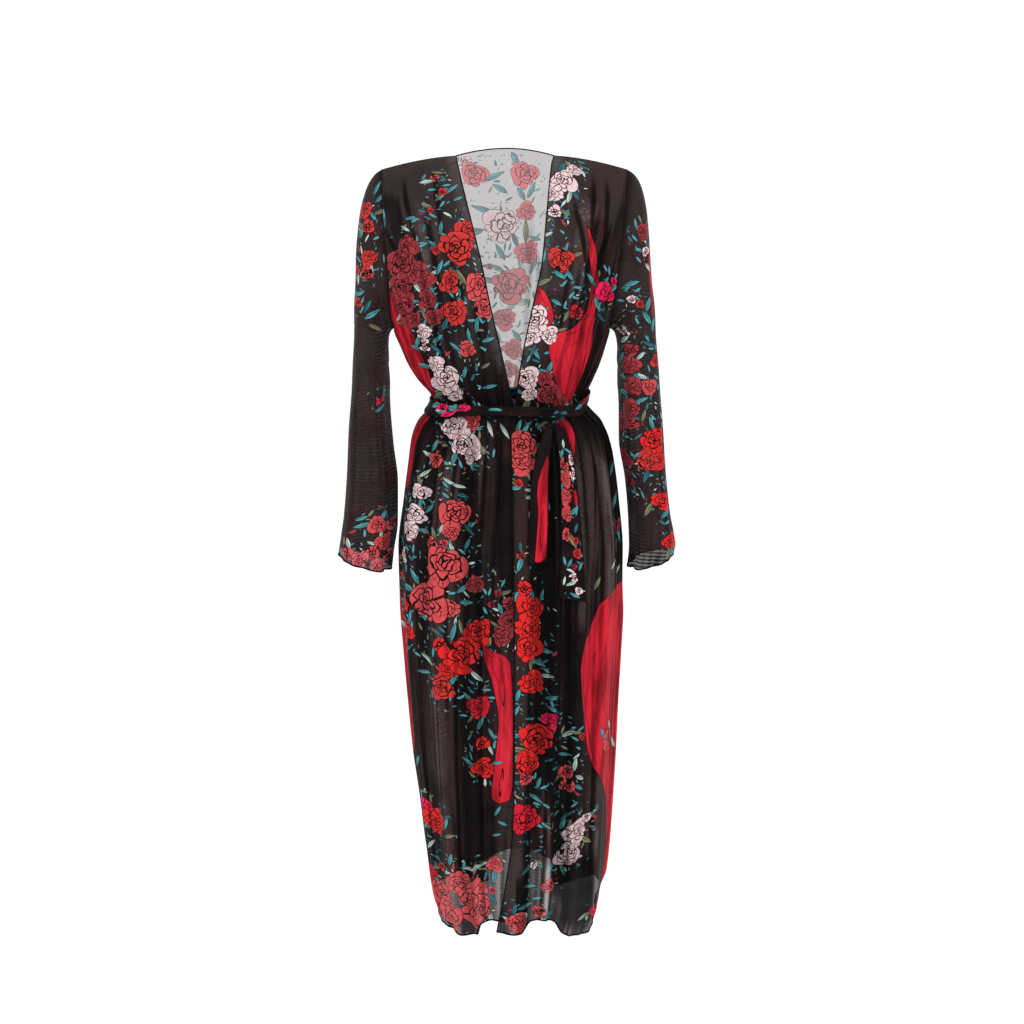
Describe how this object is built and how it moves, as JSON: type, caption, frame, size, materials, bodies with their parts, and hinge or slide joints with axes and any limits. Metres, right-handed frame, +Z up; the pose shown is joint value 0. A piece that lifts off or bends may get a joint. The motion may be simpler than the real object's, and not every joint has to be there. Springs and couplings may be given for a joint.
{
  "type": "sheer kimono robe",
  "caption": "Long hollow sheer kimono-style robe with open front edges, set-in sleeves and a tied waist belt.",
  "frame": {"origin": "mid-shoulder at the level of the base of the neck, where the wearer's shoulders hold the robe", "axes": "+Z up, the front of the robe faces -Y, +X to the viewer's right as seen from the front, which is the wearer's left"},
  "size_m": [0.5209, 0.3135, 1.2199],
  "materials": {
    "printed_mesh": "sheer matt net with a flower print",
    "belt_mesh": "folded sheer net with a flower print"
  },
  "bodies": {
    "root": {"back": "printed_mesh", "front_right": "printed_mesh", "front_left": "printed_mesh", "sleeve_right": "printed_mesh", "sleeve_left": "printed_mesh", "belt": "belt_mesh", "belt_knot": "belt_mesh", "belt_tail_short": "belt_mesh", "belt_tail_long": "belt_mesh"}
  },
  "joints": []
}
